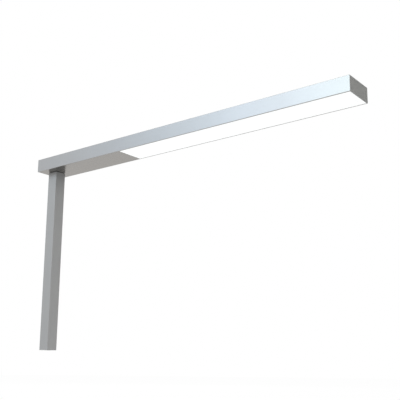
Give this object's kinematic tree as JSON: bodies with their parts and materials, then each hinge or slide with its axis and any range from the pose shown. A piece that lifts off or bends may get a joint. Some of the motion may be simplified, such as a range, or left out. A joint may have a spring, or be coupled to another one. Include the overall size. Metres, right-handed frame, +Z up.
{
  "type": "monitor light bar",
  "caption": "Slim rectangular light bar head with an opal window on its underside, swivelling on a plain square post that bolts down at its foot.",
  "frame": {"origin": "middle of the post's bottom face, which is the middle of its bolt pattern", "axes": "+Z up along the post, +X along the head from the swivel to the free end, +Y to the face with the post's screws"},
  "size_m": [0.9018, 0.078, 0.498],
  "materials": {
    "anodised_aluminium": "satin anodised, fine lengthwise grain",
    "milled_aluminium": "milled",
    "opal_plastic": "opal, lit from behind",
    "white_sheet": "white powder coat",
    "white_board": "white solder mask",
    "led_phosphor": "yellow phosphor in a white frame",
    "green_board": "green solder mask",
    "zinc_steel": "zinc plated",
    "turned_steel": "turned",
    "spring_steel": "bright spring steel",
    "bronze": "sintered bronze",
    "black_plastic": "fine texture",
    "white_plastic": "moulded",
    "driver_case": "moulded case",
    "black_rubber": "matt",
    "lead_sheath": "matt sheath",
    "button_metal": "satin"
  },
  "bodies": {
    "post": {"post_tube": "anodised_aluminium", "post_top_plug": "milled_aluminium", "post_top_screws": "zinc_steel", "foot_plug": "milled_aluminium", "foot_screws": "zinc_steel", "cable_grommet": "black_rubber", "supply_coupler": "white_plastic", "post_supply_lead": "lead_sheath", "pivot_spindle": "turned_steel", "thrust_washer": "bronze", "stop_washer": "turned_steel", "spring_washer": "spring_steel", "lock_nut": "zinc_steel"},
    "head": {"head_profile": "anodised_aluminium", "far_end_cap": "anodised_aluminium", "post_end_cap": "anodised_aluminium", "end_cap_screws": "zinc_steel", "underside_cover": "anodised_aluminium", "cover_clips": "spring_steel", "diffuser": "opal_plastic", "reflector_tray": "white_sheet", "led_board_inner": "white_board", "led_board_outer": "white_board", "led_packages": "led_phosphor", "board_screws": "zinc_steel", "board_connector": "white_plastic", "board_link": "white_plastic", "led_driver": "driver_case", "driver_screws": "zinc_steel", "driver_input_plug": "white_plastic", "driver_output_plug": "white_plastic", "head_supply_lead": "lead_sheath", "output_lead": "lead_sheath", "button_lead": "lead_sheath", "swivel_block": "milled_aluminium", "swivel_block_screws": "zinc_steel", "lower_bush": "bronze", "upper_bush": "bronze", "stop_pin": "turned_steel", "button_bezel": "button_metal", "button_board": "green_board", "button_board_screws": "zinc_steel", "tact_switch": "black_plastic", "button_spring": "spring_steel"},
    "button": {"button_cap": "button_metal", "switch_plunger": "black_plastic"}
  },
  "joints": [
    {"name": "head_swivel", "type": "hinge", "parent": "post", "child": "head", "pos_m": [0, 0, 0.465], "axis": [0, 0, 1], "range_deg": [-90, 90]},
    {"name": "button_press", "type": "slide", "parent": "head", "child": "button", "axis": [1, 0, 0], "range_m": [0, 0.0008], "stiffness_N_per_m": 1200, "springref_m": -0.001, "deforming": ["button_spring"]}
  ]
}
